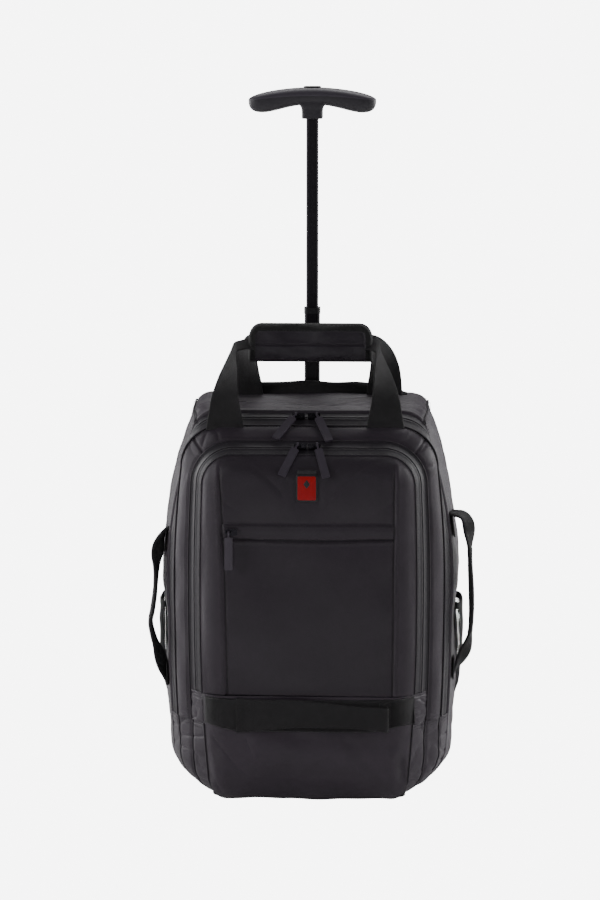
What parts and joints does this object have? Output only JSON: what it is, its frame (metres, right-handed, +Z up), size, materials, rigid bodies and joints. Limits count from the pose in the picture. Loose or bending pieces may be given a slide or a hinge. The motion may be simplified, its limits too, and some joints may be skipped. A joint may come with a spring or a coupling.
{
  "type": "rolling travel case",
  "caption": "Soft cabin-size rolling case: telescopic T-handle, wheels at the rear corners, zipped main and front compartments, wrapped carry straps, side handles and mesh pockets.",
  "frame": {"origin": "on the floor under the middle of the overall box", "axes": "+Z up along the pole, -Y towards the front of the case, +X to the right as seen from the front"},
  "size_m": [0.445, 0.225, 0.96],
  "materials": {
    "body_fabric": "coated charcoal polyester",
    "front_fabric": "smooth dark polyester",
    "lining_fabric": "nylon lining",
    "zip_tape": "woven zip tape",
    "webbing": "ribbed webbing",
    "wrap_fabric": "padded wrap",
    "pocket_mesh": "open mesh",
    "stiff_board": "sheet",
    "black_plastic": "fine spark-eroded",
    "pole_aluminium": "anodised",
    "grip_soft_touch": "soft touch",
    "grip_plastic": "satin",
    "steel": "plated",
    "wheel_tread": "matte",
    "badge_enamel": "red enamel in a black frame",
    "zip_metal": "black nickel",
    "pull_rubber": "moulded pull"
  },
  "bodies": {
    "case": {"back_panel": "body_fabric", "top_gusset": "body_fabric", "side_gusset_left": "body_fabric", "side_gusset_right": "body_fabric", "bottom_gusset": "body_fabric", "lower_front_panel": "body_fabric", "main_zip_tape_case": "zip_tape", "base_tray": "black_plastic", "tube_foot": "black_plastic", "base_screws": "steel", "front_feet": "black_plastic", "back_board": "stiff_board", "wheel_axles": "steel", "wheel_housing_right": "black_plastic", "wheel_housing_left": "black_plastic", "outer_tube": "pole_aluminium", "outer_tube_bezel": "black_plastic", "rear_carry_strap": "webbing", "rear_wrap_pad": "wrap_fabric", "side_handle_right": "webbing", "side_handle_left": "webbing", "mesh_pocket_right": "pocket_mesh", "mesh_pocket_left": "pocket_mesh", "handle_port_guard": "wrap_fabric"},
    "main_lid": {"main_zip_tape_lid": "zip_tape", "lid_gusset": "body_fabric", "divider_panel": "lining_fabric", "apron_panel": "body_fabric", "front_zip_tape_lid": "zip_tape", "lower_grab_handle": "webbing", "front_carry_strap": "webbing", "front_wrap_flap": "wrap_fabric"},
    "front_flap": {"front_zip_tape_flap": "zip_tape", "front_panel": "front_fabric", "badge": "badge_enamel"},
    "middle_stage": {"middle_tube": "pole_aluminium", "middle_tube_collar": "black_plastic", "middle_tube_glide": "black_plastic"},
    "inner_stage": {"inner_tube": "pole_aluminium", "inner_tube_glide": "black_plastic", "grip_base": "grip_plastic", "grip_cover": "grip_soft_touch", "button_spring": "steel"},
    "button": {"release_button": "grip_plastic", "push_rod": "steel"},
    "lock": {"lock_pin": "steel"},
    "wheel_right": {"wheel_tyre_right": "wheel_tread", "wheel_hub_right": "black_plastic"},
    "wheel_left": {"wheel_tyre_left": "wheel_tread", "wheel_hub_left": "black_plastic"},
    "main_slider_left": {"main_zip_slider_left": "zip_metal"},
    "main_pull_left": {"main_zip_pull_left": "pull_rubber"},
    "main_slider_right": {"main_zip_slider_right": "zip_metal"},
    "main_pull_right": {"main_zip_pull_right": "pull_rubber"},
    "front_slider_left": {"front_zip_slider_left": "zip_metal"},
    "front_pull_left": {"front_zip_pull_left": "pull_rubber"},
    "front_slider_right": {"front_zip_slider_right": "zip_metal"},
    "front_pull_right": {"front_zip_pull_right": "pull_rubber"},
    "pocket_slider": {"pocket_zip_slider": "zip_metal"},
    "pocket_pull": {"pocket_zip_pull": "pull_rubber"}
  },
  "joints": [
    {"name": "main_lid_fold", "type": "hinge", "parent": "case", "child": "main_lid", "pos_m": [0, -0.1015, 0.11], "axis": [1, 0, 0], "range_deg": [0, 90]},
    {"name": "front_flap_fold", "type": "hinge", "parent": "main_lid", "child": "front_flap", "pos_m": [0, -0.1015, 0.152], "axis": [1, 0, 0], "range_deg": [0, 60]},
    {"name": "middle_stage_slide", "type": "slide", "parent": "case", "child": "middle_stage", "axis": [0, 0, 1], "range_m": [-0.103, 0]},
    {"name": "inner_stage_slide", "type": "slide", "parent": "middle_stage", "child": "inner_stage", "axis": [0, 0, 1], "range_m": [-0.255, 0]},
    {"name": "button_press", "type": "slide", "parent": "inner_stage", "child": "button", "axis": [0, 0, 1], "range_m": [-0.0035, 0], "stiffness_N_per_m": 400, "springref_m": 0.003, "deforming": ["button_spring"]},
    {"name": "lock_pin_retract", "type": "slide", "parent": "inner_stage", "child": "lock", "axis": [0, 1, 0], "range_m": [0, 0.0022]},
    {"name": "wheel_right_spin", "type": "hinge", "parent": "case", "child": "wheel_right", "pos_m": [0.128, 0.0825, 0.03], "axis": [1, 0, 0], "continuous": true},
    {"name": "wheel_left_spin", "type": "hinge", "parent": "case", "child": "wheel_left", "pos_m": [-0.128, 0.0825, 0.03], "axis": [1, 0, 0], "continuous": true},
    {"name": "main_slider_left_run", "type": "slide", "parent": "main_lid", "child": "main_slider_left", "axis": [1, 0, 0], "range_m": [-0.045, 0]},
    {"name": "main_slider_right_run", "type": "slide", "parent": "main_lid", "child": "main_slider_right", "axis": [1, 0, 0], "range_m": [0, 0.05]},
    {"name": "front_slider_left_run", "type": "slide", "parent": "front_flap", "child": "front_slider_left", "axis": [1, 0, 0], "range_m": [-0.07, 0]},
    {"name": "front_slider_right_run", "type": "slide", "parent": "front_flap", "child": "front_slider_right", "axis": [1, 0, 0], "range_m": [0, 0.07]},
    {"name": "pocket_slider_run", "type": "slide", "parent": "front_flap", "child": "pocket_slider", "axis": [1, 0, 0], "range_m": [0, 0.2]},
    {"name": "main_pull_left_lift", "type": "hinge", "parent": "main_slider_left", "child": "main_pull_left", "pos_m": [-0.0185, -0.03054, 0.52684], "axis": [1, 0, 0], "range_deg": [-160, 0]},
    {"name": "main_pull_right_lift", "type": "hinge", "parent": "main_slider_right", "child": "main_pull_right", "pos_m": [0.0095, -0.03054, 0.52684], "axis": [1, 0, 0], "range_deg": [-160, 0]},
    {"name": "front_pull_left_lift", "type": "hinge", "parent": "front_slider_left", "child": "front_pull_left", "pos_m": [-0.0145, -0.0765, 0.49337], "axis": [1, 0, 0], "range_deg": [-150, 0]},
    {"name": "front_pull_right_lift", "type": "hinge", "parent": "front_slider_right", "child": "front_pull_right", "pos_m": [0.0115, -0.0765, 0.49337], "axis": [1, 0, 0], "range_deg": [-150, 0]},
    {"name": "pocket_pull_lift", "type": "hinge", "parent": "pocket_slider", "child": "pocket_pull", "pos_m": [-0.106, -0.1066, 0.378], "axis": [1, 0, 0], "range_deg": [-150, 3]}
  ],
  "couplings": [
    {"joint": "lock_pin_retract", "follows": "button_press", "ratio": -0.6}
  ]
}
